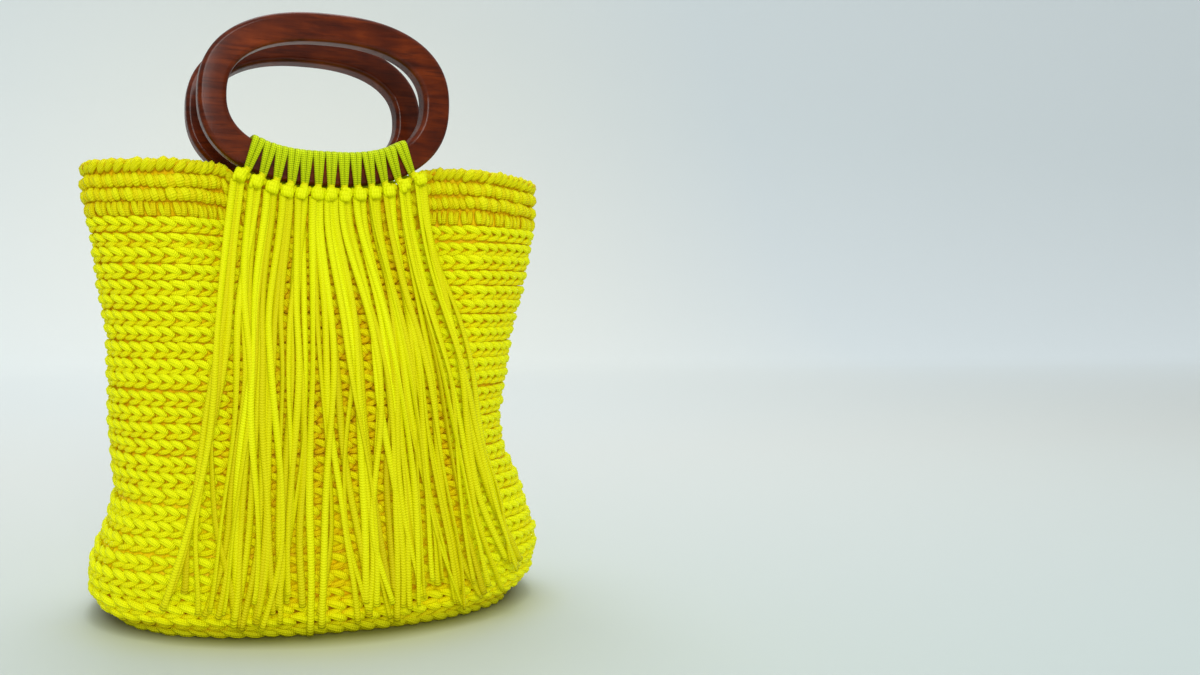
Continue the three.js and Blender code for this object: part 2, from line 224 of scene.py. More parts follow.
# Many cords that end up in one mesh, with a map along each and a tone, painted shade, from pit to crest.
class Bundle:
    def __init__(self):
        self.points, self.tones, self.faces, self.maps = [], [], [], []
        self.count = 0

    def add(self, points, tones, faces, maps):
        copies, size = tones.shape
        starts = self.count + size * np.arange(copies)[:, None, None]
        for face, faceMap in zip(faces, maps):
            self.faces.append((face[None] + starts).reshape(-1, face.shape[-1]))
            self.maps.append(np.tile(faceMap[None], (copies, 1, 1, 1)).reshape(-1, 2))
        self.points.append(points.reshape(-1, 3))
        self.tones.append(tones.reshape(-1))
        self.count += copies * size

    def addCord(self, shape, tones, matrix=Matrix(), floor=0):
        points = moved(matrix, shape["spine"] + shape["skin"])
        points[:, 2] = np.maximum(points[:, 2], floor)
        self.add(points[None], tones[None], shape["faces"], shape["maps"])

    def build(self, name, material):
        mesh = bpy.data.meshes.new(name)
        points = (np.concatenate(self.points) + origin) * mm
        mesh.from_pydata(points.tolist(), [], [face for group in self.faces for face in group.tolist()])
        mesh.uv_layers.new(name="weave").data.foreach_set("uv", np.concatenate(self.maps).ravel())
        mesh.attributes.new("tone", "FLOAT", "POINT").data.foreach_set("value", np.concatenate(self.tones))
        mesh.shade_smooth()
        mesh.materials.append(material)
        piece = bpy.data.objects.new(name, mesh)
        bpy.context.collection.objects.link(piece)
        return piece


# A cord as rings of points: its middle line, the offsets from it, its faces and its map.
def cordShape(line, halfWidth, halfThick, sides, wide=None, closed=False):
    line = np.asarray(line, float)
    if closed:
        ahead = unit(np.roll(line, -1, 0) - np.roll(line, 1, 0))
    else:
        ahead = unit(np.gradient(line, axis=0))
    wide = np.array([0, 0, 1]) if wide is None else wide
    across = unit(np.cross(ahead, wide))
    over = np.cross(across, ahead)
    turn = 2 * np.pi * np.arange(sides) / sides
    halfWidth = np.broadcast_to(halfWidth, len(line))[:, None, None]
    halfThick = np.broadcast_to(halfThick, len(line))[:, None, None]
    skin = across[:, None] * np.cos(turn)[:, None] * halfWidth
    skin = skin + over[:, None] * np.sin(turn)[:, None] * halfThick
    rings = len(line)
    last = rings if closed else rings - 1
    k, j = [index.ravel() for index in np.meshgrid(np.arange(last), np.arange(sides), indexing="ij")]
    steps = np.linalg.norm(np.diff(np.vstack([line, line[:1]]), axis=0), axis=1)
    run = np.concatenate([[0], np.cumsum(steps)])
    corners = ((0, 0), (1, 0), (1, 1), (0, 1))
    quads = np.stack([(k + a) % rings * sides + (j + b) % sides for a, b in corners], -1)
    quadMap = np.stack([np.stack([run[k + a], (j + b) / sides], -1) for a, b in corners], 1)
    faces, maps = [quads], [quadMap]
    if not closed:
        start = np.arange(sides)
        caps = np.stack([start, (rings - 1) * sides + start[::-1]])
        faces.append(caps)
        maps.append(np.zeros((2, sides, 2)))
    spine = np.repeat(line[:, None], sides, 1)
    return {"spine": spine.reshape(-1, 3), "skin": skin.reshape(-1, 3), "faces": faces, "maps": maps}


# A shader socket, wrapped so that shader maths reads as plain expressions.
class Wire:
    def __init__(self, shade, socket):
        self.shade = shade
        self.socket = socket

    def math(self, operation, *others):
        names = ("Value", "Value_001", "Value_002")
        return self.shade.node("Math", {"operation": operation}, dict(zip(names, (self, *others))))

    __add__ = __radd__ = partialmethod(math, "ADD")
    __sub__ = partialmethod(math, "SUBTRACT")
    __mul__ = partialmethod(math, "MULTIPLY")
    __truediv__ = partialmethod(math, "DIVIDE")
    __pow__ = partialmethod(math, "POWER")

    def __rsub__(self, other):
        return self.shade.node("Math", {"operation": "SUBTRACT"}, {"Value": other, "Value_001": self})

    def between(self, low, high):
        return ((self - low) / (high - low)).math("MINIMUM", 1).math("MAXIMUM", 0)


class Shade:
    def __init__(self, name):
        self.material = bpy.data.materials.new(name)
        self.material.use_nodes = True
        self.tree = self.material.node_tree
        self.tree.nodes.clear()

    def node(self, kind, settings=None, sockets=None, output=0):
        made = self.tree.nodes.new("ShaderNode" + kind)
        for key, value in (settings or {}).items():
            if key == "stops":
                stops = made.color_ramp.elements
                stops[0].position, stops[0].color = value[0]
                stops[1].position, stops[1].color = value[-1]
                for place, colour in value[1:-1]:
                    stops.new(place).color = colour
            else:
                setattr(made, key, value)
        for key, value in (sockets or {}).items():
            target = next(socket for socket in made.inputs if socket.identifier == key)
            if isinstance(value, Wire):
                self.tree.links.new(value.socket, target)
            else:
                target.default_value = value
        shown = [socket for socket in made.outputs if socket.enabled]
        return Wire(self, shown[output] if shown else None)

    def objectPlace(self):
        return self.node("TexCoord", output=3)

    def noise(self, place, scale, detail, **more):
        return self.node("TexNoise", {}, {"Vector": place, "Scale": scale, "Detail": detail, **more})

    def bump(self, height, strength, distance):
        return self.node("Bump", {}, {"Height": height, "Strength": strength, "Distance": distance})

    def split(self, vector):
        parts = self.node("SeparateXYZ", {}, {"Vector": vector}).socket.node.outputs
        return [Wire(self, part) for part in parts]

    def blend(self, factor, first, second):
        sockets = {"Factor_Float": factor, "A_Color": first, "B_Color": second}
        return self.node("Mix", {"data_type": "RGBA"}, sockets)

    def finish(self, sockets):
        surface = self.node("BsdfPrincipled", {}, sockets)
        self.node("OutputMaterial", {}, {"Surface": surface})
        return self.material


# A display colour with parts from 0 to 255, made linear and opaque.
def tint(*parts):
    def linear(share):
        return share / 12.92 if share <= 0.04045 else ((share + 0.055) / 1.055) ** 2.4

    return (*(linear(part / 255) for part in parts), 1)


# Turns in radians, as the weaves count them.
fullTurn = 6.283
halfTurn = 3.1416

# Painted shade: close over the floor the cord is darker; heights in metres, and how dark at the lowest.
footShade = {"from": 0.013, "to": 0.001, "share": 0.6, "colour": tint(98, 96, 0)}


# Braided cord: the tone runs from the pits between the stitches up to their crests; low tones are painted
# shade, darker and more orange in the pits, and noise makes the tone stray at random.
def cordMaterial(name, look):
    shade = Shade(name)
    tone = shade.node("Attribute", {"attribute_name": "tone"}, output=2)
    place = shade.objectPlace()
    patch = (shade.noise(place, 14, 2) - 0.5) * look["patch"]
    fleck = (shade.noise(place, 420, 2) - 0.5) * look["fleck"]
    shifted = tone + patch + fleck
    colour = shade.node("ValToRGB", {"stops": look["stops"]}, {"Fac": shifted})

    along, around, _ = shade.split(shade.node("UVMap", {"uv_map": "weave"}))
    threads = (around * (fullTurn * look["threads"])).math("COSINE")
    edge = (around * (2 * fullTurn)).math("COSINE")
    ribs = ((along / look["rib"] + edge * look["chevron"]) * fullTurn).math("COSINE")
    relief = ribs * look["ribbing"] + threads * (1 - look["ribbing"])
    # Painted shade: the weave's hollows, and by "edge" the cord's sides, blend towards the pit colour.
    hollowShade = (relief * -0.5 + 0.5) * look["weaveShade"] + (edge * 0.5 + 0.5) * look["edge"]
    shaded = shade.blend(hollowShade, colour, look["pit"])
    # Painted shade close over the floor.
    lit = shade.split(place)[2].between(footShade["to"], footShade["from"])
    shaded = shade.blend((1 - lit) * footShade["share"], shaded, footShade["colour"])
    bump = shade.bump(relief, look["bump"], 0.0005)
    # The emission, by "glow", is painted light: it lifts the cord's shade.
    return shade.finish({
        "Base Color": shaded, "Roughness": 0.5 + (0.5 - relief * 0.5) * 0.2, "Normal": bump,
        "Specular IOR Level": look["gloss"], "Emission Color": shaded, "Emission Strength": look["glow"],
    })


stitchLook = {
    "stops": [
        (0, tint(110, 94, 0)), (0.12, tint(198, 146, 0)), (0.3, tint(222, 186, 0)),
        (0.52, tint(228, 212, 0)), (0.76, tint(226, 226, 0)), (1, tint(231, 239, 8))],
    "pit": tint(204, 184, 0), "weaveShade": 0.26, "rib": 1, "threads": 8, "ribbing": 0.5, "chevron": 0,
    "edge": 0, "patch": 0.12, "fleck": 0.08, "bump": 0.8, "gloss": 0.1, "glow": 0.16,
}
# The rim's rounds are painted darker, as shade, with orange painted shade in their pits.
shadedRimLook = {
    **stitchLook,
    "stops": [
        (0, tint(146, 110, 0)), (0.16, tint(210, 138, 0)), (0.36, tint(212, 172, 0)),
        (0.6, tint(212, 194, 0)), (0.8, tint(212, 204, 0)), (1, tint(216, 218, 4))],
    "pit": tint(200, 178, 0),
}
strandLook = {
    **stitchLook,
    "stops": [
        (0, tint(184, 168, 0)), (0.35, tint(198, 191, 0)), (0.6, tint(206, 204, 0)),
        (1, tint(218, 226, 4))],
    "pit": tint(188, 176, 0), "weaveShade": 0.3, "rib": 1.8, "threads": 4, "ribbing": 0.8, "chevron": 0.18,
    "edge": 0.2, "fleck": 0.04, "bump": 0.5,
}
knotLook = {**strandLook, "weaveShade": 0.24, "edge": 0}
loopLook = {
    **stitchLook,
    "stops": [
        (0, tint(120, 118, 2)), (0.4, tint(188, 204, 4)), (0.8, tint(206, 228, 10)),
        (1, tint(218, 240, 18))],
    "pit": tint(92, 100, 0), "weaveShade": 0.6, "rib": 1.5, "ribbing": 0.55, "chevron": 0.15, "edge": 0.2,
    "patch": 0.1, "fleck": 0.06, "bump": 1, "glow": 0.22,
}
stitchMaterial = cordMaterial("yellow crochet cord", stitchLook)
rimMaterial = cordMaterial("yellow rim cord", shadedRimLook)
strandMaterial = cordMaterial("yellow fringe cord", strandLook)
knotMaterial = cordMaterial("yellow knot cord", knotLook)
loopMaterial = cordMaterial("open green-yellow loop cord", loopLook)


# The inside of the wall: rows of low bumps, each half a stitch on from the row below, with painted shade
# between the bumps, where the tone drops with the relief.
def wallMaterial():
    shade = Shade("inside of the crochet")
    tone = shade.node("Attribute", {"attribute_name": "tone"}, output=2)
    stitches, rows, _ = shade.split(shade.node("UVMap", {"uv_map": "weave"}))
    shifted = stitches + rows.math("FLOOR") * 0.5
    nub = (shifted * fullTurn).math("SINE") * 0.5 + 0.5
    ridge = (rows * halfTurn).math("SINE").math("ABSOLUTE")
    slant = ((shifted * 2 + rows) * fullTurn).math("SINE") * 0.5 + 0.5
    relief = ridge * (nub * 0.6 + slant * 0.4)
    fleck = shade.noise(shade.objectPlace(), 500, 3)
    colour = shade.node("ValToRGB", {"stops": stitchLook["stops"]}, {"Fac": tone * (relief * 0.5 + 0.5)})
    bump = shade.bump(relief + fleck * 0.12, 0.9, 0.003)
    # The small emission is painted light that lifts the shade.
    return shade.finish({
        "Base Color": colour, "Roughness": 0.6, "Normal": bump,
        "Specular IOR Level": 0.1, "Emission Color": colour, "Emission Strength": 0.14,
    })


insideMaterial = wallMaterial()


# Stained wood: grain along the ring's length, darker pores and a clear coat.
def woodMaterial():
    shade = Shade("stained wood")
    place = shade.objectPlace()
    stretched = shade.node("Mapping", {}, {"Vector": place, "Scale": (24, 90, 170)})
    grain = shade.noise(stretched, 1, 6, Distortion=0.7)
    broad = shade.noise(place, 34, 3)
    thin = shade.node("Mapping", {}, {"Vector": place, "Scale": (45, 400, 620)})
    pores = shade.noise(thin, 1, 3).between(0.56, 0.7)
    figure = grain * 0.55 + broad * 0.45
    stops = [
        (0.34, tint(54, 17, 5)), (0.46, tint(76, 25, 6)), (0.56, tint(94, 34, 7)), (0.7, tint(120, 48, 12))]
    stain = shade.node("ValToRGB", {"stops": stops}, {"Fac": figure})
    colour = shade.blend(pores * 0.45, stain, tint(30, 10, 6))
    bump = shade.bump(grain - pores * 0.5, 0.12, 0.0004)
    return shade.finish({
        "Base Color": colour, "Roughness": 0.4 + pores * 0.2, "Normal": bump,
        "Coat Weight": 0.24, "Coat Roughness": 0.12, "Specular IOR Level": 0.05,
    })


ringMaterial = woodMaterial()
print("materials made")


# The arc length, the middle line and the up and outward directions along one closed round.
def closedPath(centre, up):
    step = np.gradient(centre, axis=0)
    step[0] = step[-1] = centre[1] - centre[-2]
    length = np.concatenate([[0], np.cumsum(np.linalg.norm(np.diff(centre, axis=0), axis=1))])
    out = unit(np.cross(step, up))
    return {"length": length, "centre": centre, "up": unit(up), "out": out}


angles = np.linspace(-np.pi, np.pi, 1441)


# A path that runs round the wall at one height, and as deep under its crests as asked.
def wallPath(height, depth):
    share = height / bag["height"]
    crests = wallPoint(angles, share, 0)
    up = wallPoint(angles, share + 0.006, 0) - wallPoint(angles, max(share - 0.006, 0), 0)
    out = closedPath(crests, up)["out"]
    return closedPath(crests - out * depth, up)


def onPath(path, along, up, out):
    place = np.mod(along, path["length"][-1])

    def pick(field):
        return np.stack([np.interp(place, path["length"], path[field][:, axis]) for axis in range(3)], -1)

    return pick("centre") + up[..., None] * pick("up") + out[..., None] * pick("out")


# Each leg of a stitch: along the round, up the wall, out from it, and half the cord's width and thickness.
# A stitch strays by the scatter from its place and size, and its tone rises from pit to crest over "lit", as
# painted shade and light; a second leg is painted darker by "legDim".
stitch = {
    "pitch": 9.4, "sides": 7, "bed": 6.2,
    "scatter": {"along": 0.3, "up": 0.22, "out": 0.18, "thick": 0.05},
    "lit": (0.4, 5), "legDim": 0.2, "toneScatter": 0.04,
    "braid": [
        [(-6.8, 3.3, 0, 1, 0.8), (-4.7, 3.4, 2, 1.8, 1.5), (-2.1, 3.1, 3.2, 2.2, 1.9),
         (0.5, 2.4, 3.8, 2.5, 2.1), (3, 1.4, 3.7, 2.5, 2.1), (5.1, 0.1, 2.5, 2, 1.7),
         (6.1, -0.9, 0.5, 0.9, 0.8)],
        [(-6.6, -3.3, 0, 0.9, 0.8), (-4.7, -3.3, 1.5, 1.5, 1.4), (-2.3, -3, 2.5, 1.9, 1.7),
         (0.3, -2.5, 2.9, 2.1, 1.8), (2.7, -1.7, 2.6, 2, 1.7), (4.7, -0.8, 1.6, 1.5, 1.2),
         (5.7, -0.2, 0.3, 0.8, 0.6)],
    ],
    "nub": [
        [(-4.3, 3.2, 0.2, 1, 0.8), (-3.9, 2.3, 2.4, 2.1, 1.7), (-3.1, 0.9, 3.6, 2.5, 2.1),
         (-2.3, -0.7, 3.8, 2.5, 2.1), (-1.7, -2.2, 2.8, 2.1, 1.8), (-1.4, -3.2, 0.3, 0.9, 0.8)],
        [(0.6, 3.4, 0.2, 1, 0.8), (1, 2.3, 2, 2, 1.6), (1.8, 0.8, 3.2, 2.3, 1.9),
         (2.6, -0.8, 3.4, 2.4, 1.9), (3.2, -2.3, 2.3, 2, 1.7), (3.6, -3.3, 0.3, 0.9, 0.8)],
    ],
    "post": [
        [(-3, 4.4, 0.2, 1, 0.8), (-2.9, 3, 2, 1.8, 1.5), (-2.6, 1, 2.9, 1.9, 1.7),
         (-2.2, -1.2, 3.1, 2, 1.8), (-1.7, -3.2, 2.5, 2, 1.7), (-1.2, -4.6, 0.4, 1, 0.8)],
        [(2, 4.4, 0.2, 1, 0.8), (1.9, 3, 2, 1.8, 1.5), (1.6, 1, 2.9, 1.9, 1.7),
         (1.4, -1.2, 3.1, 2, 1.8), (1.3, -3.2, 2.5, 2, 1.7), (1.4, -4.6, 0.4, 1, 0.8)],
    ],
    "rolled": [
        [(-6.6, -2.9, 0.2, 1.1, 0.8), (-4.6, -2.3, 2.4, 2.1, 1.7), (-2, -0.9, 3.7, 2.6, 2.1),
         (0.8, 0.8, 4, 2.7, 2.2), (3.4, 2.2, 3.2, 2.3, 1.8), (5.4, 3, 0.6, 1.2, 0.9)],
    ],
}


def legShapes(name):
    shapes = []
    for rows in stitch[name]:
        rows = np.array(rows)
        shapes.append(cordShape(rows[:, :3], rows[:, 3], rows[:, 4], stitch["sides"]))
    return shapes


legs = {name: legShapes(name) for name in ("braid", "nub", "post", "rolled")}


# The fringe's shadow, painted into the tone of the wall's stitches: its half widths, and where it fades at
# the sides, above and below.
fringeShadow = {
    "halfTop": 60, "halfBottom": 100, "drift": 9, "sides": (-8, 2), "above": (318, 304), "below": (8, 30),
    "dim": 0.32,
}


# How much painted shade the fringe casts on a point of the wall behind it.
def behindFringe(points):
    x, y, z = np.moveaxis(points, -1, 0)
    fall = 1 - np.clip(z / bag["height"], 0, 1)
    half = mix(fringeShadow["halfTop"], fringeShadow["halfBottom"], fall)
    aside = abs(x - front["shift"] - fringeShadow["drift"] * fall)
    across = 1 - smoothStep(aside, *(half + reach for reach in fringeShadow["sides"]))
    along = smoothStep(z, *fringeShadow["above"]) * smoothStep(z, *fringeShadow["below"])
    return across * along * (y < 0)


def layRound(bundle, path, kind, count, size=1, rise=1, tone=(0.26, 1), floor=None, ragged=1):
    total = path["length"][-1]
    stretch = total / count / stitch["pitch"]
    scatter = {key: value * ragged for key, value in stitch["scatter"].items()}
    starts = (np.arange(count) + rng.uniform(0, 1)) * total / count + rng.normal(0, scatter["along"], count)
    drift = rng.normal(0, scatter["up"], count)
    push = rng.normal(0, scatter["out"], count)
    for number, leg in enumerate(legs[kind]):
        thick = size * rng.normal(1, scatter["thick"], count)[:, None]
        along = leg["spine"][:, 0] * stretch + leg["skin"][:, 0] * thick + starts[:, None]
        up = leg["spine"][:, 1] * rise + leg["skin"][:, 1] * thick + drift[:, None]
        out = leg["spine"][:, 2] * size + leg["skin"][:, 2] * thick + push[:, None]
        points = onPath(path, along, up, out)
        if floor is not None:
            points[..., 2] = np.maximum(points[..., 2], floor)
        tones = mix(tone[0], tone[1] - stitch["legDim"] * number, smoothStep(out, *stitch["lit"]))
        tones = tones + rng.normal(0, stitch["toneScatter"], count)[:, None]
        # Painted shadow of the fringe.
        tones = tones - fringeShadow["dim"] * behindFringe(points)
        bundle.add(points, tones, leg["faces"], leg["maps"])


# The tones of pits and crests are painted shade: the pits darken over the low rounds and stay dark above, the
# foot's pits are darkest and its crests dimmer, and the rim has its own tones.
rounds = {
    "stitches": 80, "size": 1.06, "sizeScatter": 0.03, "rise": 1.1, "heightScatter": 0.5,
    "pits": (0.66, 0.22), "pitsOver": (4, 12), "crest": 0.97,
    "lowStitches": 66, "low": {"size": 1.22, "rise": 1.15, "floor": 0.4}, "edgeDepth": 4.4,
    "lowHeights": [1.3, 8.6, 17], "lowTones": [0.82, 0.86, 0.93], "lowPit": 0.06,
    "rimStitches": 84, "rolledStitches": 132, "rim": {"tone": (0.24, 0.94), "ragged": 2},
    "rimSizes": [1.14, 1.26, 1.28, 1.16], "topRise": 0.95, "topSunk": 0.4,
    "baseFrom": 4.5, "baseStep": 10.2, "baseTo": 4,
}
roundHeight = (bag["height"] - bag["rimBand"]) / bag["wallRounds"]
bandHeight = bag["rimBand"] / bag["rimRounds"]


def makeStitches():
    pieces = []
    groups = {"low": range(2, 10), "middle": range(10, 18), "high": range(18, bag["wallRounds"])}
    for label, indices in groups.items():
        bundle = Bundle()
        for index in indices:
            height = (index + 0.5) * roundHeight + rng.normal(0, rounds["heightScatter"])
            path = wallPath(height, stitch["bed"])
            tone = (mix(*rounds["pits"], smoothStep(index, *rounds["pitsOver"])), rounds["crest"])
            size = rng.normal(rounds["size"], rounds["sizeScatter"])
            rise = size * rounds["rise"]
            layRound(bundle, path, "braid", rounds["stitches"], size=size, rise=rise, tone=tone)
        pieces.append(bundle.build("stitches_" + label, stitchMaterial))

    # The thick rounds at the foot follow the wall as it turns under, so they are closer together.
    bundle = Bundle()
    for height, crest in zip(rounds["lowHeights"], rounds["lowTones"]):
        depth = rounds["edgeDepth"] if height == rounds["lowHeights"][0] else stitch["bed"]
        path = wallPath(height, depth)
        tone = (rounds["lowPit"], crest)
        layRound(bundle, path, "braid", rounds["lowStitches"], tone=tone, **rounds["low"])
    pieces.append(bundle.build("stitches_foot", stitchMaterial))

    bundle = Bundle()
    for index, kind in enumerate(("post", "nub", "nub", "rolled")):
        middle = bag["height"] - bag["rimBand"] + (index + 0.5) * bandHeight
        path = wallPath(middle, stitch["bed"])
        count = rounds["rolledStitches"] if kind == "rolled" else rounds["rimStitches"]
        size = rounds["rimSizes"][index]
        layRound(bundle, path, kind, count, size=size, rise=size, **rounds["rim"])
    # The last round lies on the rim's top.
    outer = wallPoint(angles, 1, 0)
    inner = wallPoint(angles, 1, bag["wall"])
    centre = (outer + inner) / 2 - [0, 0, stitch["bed"] - rounds["topSunk"]]
    path = closedPath(centre, inner - outer)
    layRound(bundle, path, "braid", rounds["rimStitches"], rise=rounds["topRise"])
    pieces.append(bundle.build("stitches_rim", rimMaterial))

    # Rounds of the oval base, seen only from below.
    bundle = Bundle()
    inset = rounds["baseFrom"]
    while inset < bag["bulgeDepth"] / 2 * outline["depth"][0] - rounds["baseTo"]:
        centre = wallPoint(angles, 0, inset) + [0, 0, stitch["bed"]]
        outwards = wallPoint(angles, 0, inset - 2) - wallPoint(angles, 0, inset)
        path = closedPath(centre, outwards)
        count = round(path["length"][-1] / stitch["pitch"])
        layRound(bundle, path, "braid", count, floor=0.2)
        inset += rounds["baseStep"]
    pieces.append(bundle.build("stitches_base", stitchMaterial))
    return pieces


# The fabric behind the stitches, from the base up, over the rim and down inside, as rows at a part of each
# round's height, those outside a little further in or out. Its tone is painted shade: low where it shows
# between the stitches outside and under the base, higher on the inside's ribs.
shell = {
    "columns": 240, "baseRows": 10, "outside": 5.4, "inside": 8, "rib": 0.9, "under": 4.2, "rimDrop": 4.6,
    "outsideRows": [(0.02, 0.5), (0.25, 0), (0.5, -0.2), (0.75, 0)],
    "insideRows": [0.86, 0.7, 0.5, 0.3, 0.14], "pit": 0.46, "lowPits": (0.08, 0.68), "lowPitsOver": (12, 35),
    "lowUpTo": 90,
}


def shellRows():
    rows = []

    def addRow(height, inset, tone, lift=0, scale=1):
        row = {"share": height / bag["height"], "inset": inset, "tone": tone, "lift": lift, "scale": scale}
        rows.append(row)

    for step in range(shell["baseRows"]):
        addRow(0, shell["outside"], tone=0.1, lift=shell["under"], scale=step / shell["baseRows"])
    edges = [index * roundHeight for index in range(bag["wallRounds"])]
    edges += [bag["height"] - bag["rimBand"] + index * bandHeight for index in range(bag["rimRounds"] + 1)]
    for low, high in zip(edges[:-1], edges[1:]):
        pit = mix(*shell["lowPits"], smoothStep(low, *shell["lowPitsOver"]))
        pit = shell["pit"] if low > shell["lowUpTo"] else pit
        lift = shell["under"] if low == 0 else 0
        for part, inset in shell["outsideRows"]:
            addRow(mix(low, high, part), shell["outside"] + inset, pit, lift)
    addRow(bag["height"], shell["outside"], tone=0.3, lift=-shell["rimDrop"])
    addRow(bag["height"], shell["inside"], tone=0.5, lift=-shell["rimDrop"])
    for low, high in zip(edges[-2::-1], edges[:0:-1]):
        for part in shell["insideRows"]:
            swell = math.sin(part * math.pi)
            height = max(mix(low, high, part), bag["wall"])
            addRow(height, shell["inside"] + swell * shell["rib"], tone=0.45 + 0.5 * swell)
    for step in range(shell["baseRows"]):
        scale = 1 - (step + 1) / shell["baseRows"]
        addRow(bag["wall"], shell["inside"] + 1, tone=0.8, scale=scale)
    return rows


def makeShell():
    rows = shellRows()
    bpy.ops.mesh.primitive_grid_add(x_subdivisions=shell["columns"], y_subdivisions=len(rows) - 1, size=2)
    piece = bpy.context.object
    piece.name = piece.data.name = "fabric_wall"
    flat = np.array([vertex.co for vertex in piece.data.vertices])
    across = (flat[:, 0] + 1) / 2
    index = np.rint((flat[:, 1] + 1) / 2 * (len(rows) - 1)).astype(int)
    field = {key: np.array([row[key] for row in rows])[index] for key in rows[0]}
    points = wallPoint((across * 2 - 1) * np.pi, field["share"], field["inset"])
    points[:, :2] *= field["scale"][:, None]
    points[:, 2] += field["lift"]
    piece.data.vertices.foreach_set("co", ((points + origin) * mm).ravel())
    piece.data.attributes.new("tone", "FLOAT", "POINT").data.foreach_set("value", field["tone"])
    corners = np.zeros(len(piece.data.loops), int)
    piece.data.loops.foreach_get("vertex_index", corners)
    rowHeight = np.where(field["share"] > 0, points[:, 2] / roundHeight, index * 0.5)
    weave = np.stack([across * rounds["stitches"], rowHeight], -1)
    piece.data.uv_layers.active.name = "weave"
    piece.data.uv_layers["weave"].data.foreach_set("uv", weave[corners].ravel())
    setMode("EDIT")
    bpy.ops.mesh.select_all(action="SELECT")
    bpy.ops.mesh.remove_doubles(threshold=0.00001)
    bpy.ops.mesh.normals_make_consistent(inside=False)
    setMode("OBJECT")
    bpy.ops.object.shade_smooth()
    piece.data.materials.append(insideMaterial)
    piece.select_set(False)
    return piece


bodyPieces = makeStitches() + [makeShell()]
for piece in bodyPieces:
    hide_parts("crochet_body")
    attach(piece, "root")
    tell(piece)


def handleMatrix(plan):
    place = Matrix.Translation((plan["shift"], plan["side"] * ring["spread"] / 2, ringZ))
    turn = Matrix.Rotation(-plan["side"] * lean, 4, "X")
    face = Matrix.Rotation(math.pi if plan["side"] > 0 else 0, 4, "Z")
    return place @ turn @ face


def moved(matrix, points):
    matrix = np.array(matrix)
    return points @ matrix[:3, :3].T + matrix[:3, 3]


def ovalPoints(turns, inset):
    c, s = np.cos(turns), np.sin(turns)
    x = (ring["width"] / 2 - inset) * np.sign(c) * np.abs(c) ** (2 / ring["power"])
    z = (ring["height"] / 2 - inset) * np.sign(s) * np.abs(s) ** (2 / ring["power"])
    return x, z


# Turns that divide the oval into even lengths.
def evenTurns(count):
    fine = np.linspace(0, 2 * np.pi, 36 * count + 1)
    x, z = ovalPoints(fine, ring["band"] / 2)
    run = np.concatenate([[0], np.cumsum(np.hypot(np.diff(x), np.diff(z)))])
    return np.interp(np.arange(count) / count * run[-1], run, fine)


# A flat oval is extruded to a band, then to a slab, and its four sharp edges are rounded.
def makeRing(plan):
    count = ring["segments"]
    bpy.ops.mesh.primitive_circle_add(vertices=count, radius=1)
    piece = bpy.context.object
    piece.name = piece.data.name = "ring_" + plan["label"]
    setMode("EDIT")
    bpy.ops.mesh.select_all(action="SELECT")
    bpy.ops.mesh.extrude_edges_move()
    setMode("OBJECT")
    turns = evenTurns(count)
    halfThick = ring["thickness"] / 2
    for start, inset in ((0, 0), (count, ring["band"])):
        x, z = ovalPoints(turns, inset)
        for index in range(count):
            piece.data.vertices[start + index].co = (x[index] * mm, -halfThick * mm, z[index] * mm)
    setMode("EDIT")
    bpy.ops.mesh.select_all(action="SELECT")
    bpy.ops.mesh.extrude_region_move(TRANSFORM_OT_translate={"value": (0, ring["thickness"] * mm, 0)})
    bpy.ops.mesh.select_all(action="SELECT")
    bpy.ops.mesh.normals_make_consistent(inside=False)
    bpy.ops.mesh.select_all(action="DESELECT")
    bpy.ops.mesh.select_mode(type="EDGE")
    bpy.ops.mesh.edges_select_sharp(sharpness=math.radians(60))
    bpy.ops.mesh.bevel(offset=ring["rounding"] * mm, segments=5, profile=0.5, affect="EDGES")
    setMode("OBJECT")
    bpy.ops.object.shade_smooth()
    bpy.ops.object.modifier_add(type="WEIGHTED_NORMAL")
    bpy.ops.object.modifier_apply(modifier=piece.modifiers[0].name)
    toMetres = Matrix.Translation(Vector(origin) * mm) @ Matrix.Scale(mm, 4)
    piece.data.transform(toMetres @ handleMatrix(plan) @ Matrix.Scale(1 / mm, 4))
    piece.data.materials.append(ringMaterial)
    piece.select_set(False)
    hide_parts("handle_" + plan["label"])
    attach(piece, "root")
    return piece


for plan in (front, back):
    tell(makeRing(plan))


strip = {
    "sides": 8, "halfTop": 2.6, "halfBottom": 1.4, "thick": 0.85, "beside": 0.9, "puff": 2.2, "skew": 0.35,
    "sizeScatter": 0.04, "scatter": 0.12, "corner": 3.6, "cornerSteps": 5, "sideSteps": 6,
}
knot = {
    "wraps": {"radius": 3.2, "turns": 2.1, "height": 4.4, "steps": 44, "flat": 0.85},
    "collar": {"radius": 1.7, "turns": 1.3, "height": 1.2, "steps": 24, "flat": 0.9},
    "sides": 8, "cord": 1.7, "band": 2.9, "raise": 2.2, "fan": 0.07, "forward": 1.2, "sizeScatter": 0.04,
    "scatter": (0.3, 0.4), "collarCord": 1.6, "collarRaise": 1.4, "collarShift": 0.4, "core": 2.4,
    "coreSteps": 6, "behind": 0.62, "behindBack": 3.4, "behindUp": 2.2,
}


# A closed line round the bar, with round corners, in the plane across it.
def barLoop(halfDeep, top, bottom, corner):
    line = []
    high, low = top - corner, bottom + corner
    corners = ((1, high), (-1, high), (-1, low), (1, low))
    for quarter, (side, centreZ) in enumerate(corners):
        centreY = side * (halfDeep - corner)
        for step in range(strip["cornerSteps"] + 1):
            turn = (quarter + step / strip["cornerSteps"]) * math.pi / 2
            line.append((0, centreY + corner * math.cos(turn), centreZ + corner * math.sin(turn)))
        if quarter % 2:
            endZ = corners[(quarter + 1) % 4][1]
            for step in range(1, strip["sideSteps"]):
                line.append((0, side * halfDeep, mix(centreZ, endZ, step / strip["sideSteps"])))
    return np.array(line)


def tieMatrix(plan, spot):
    place = Matrix.Translation((-plan["side"] * spot["across"], 0, -spot["down"]))
    return handleMatrix(plan) @ place @ Matrix.Rotation(plan["side"] * spot["tilt"], 4, "Y")


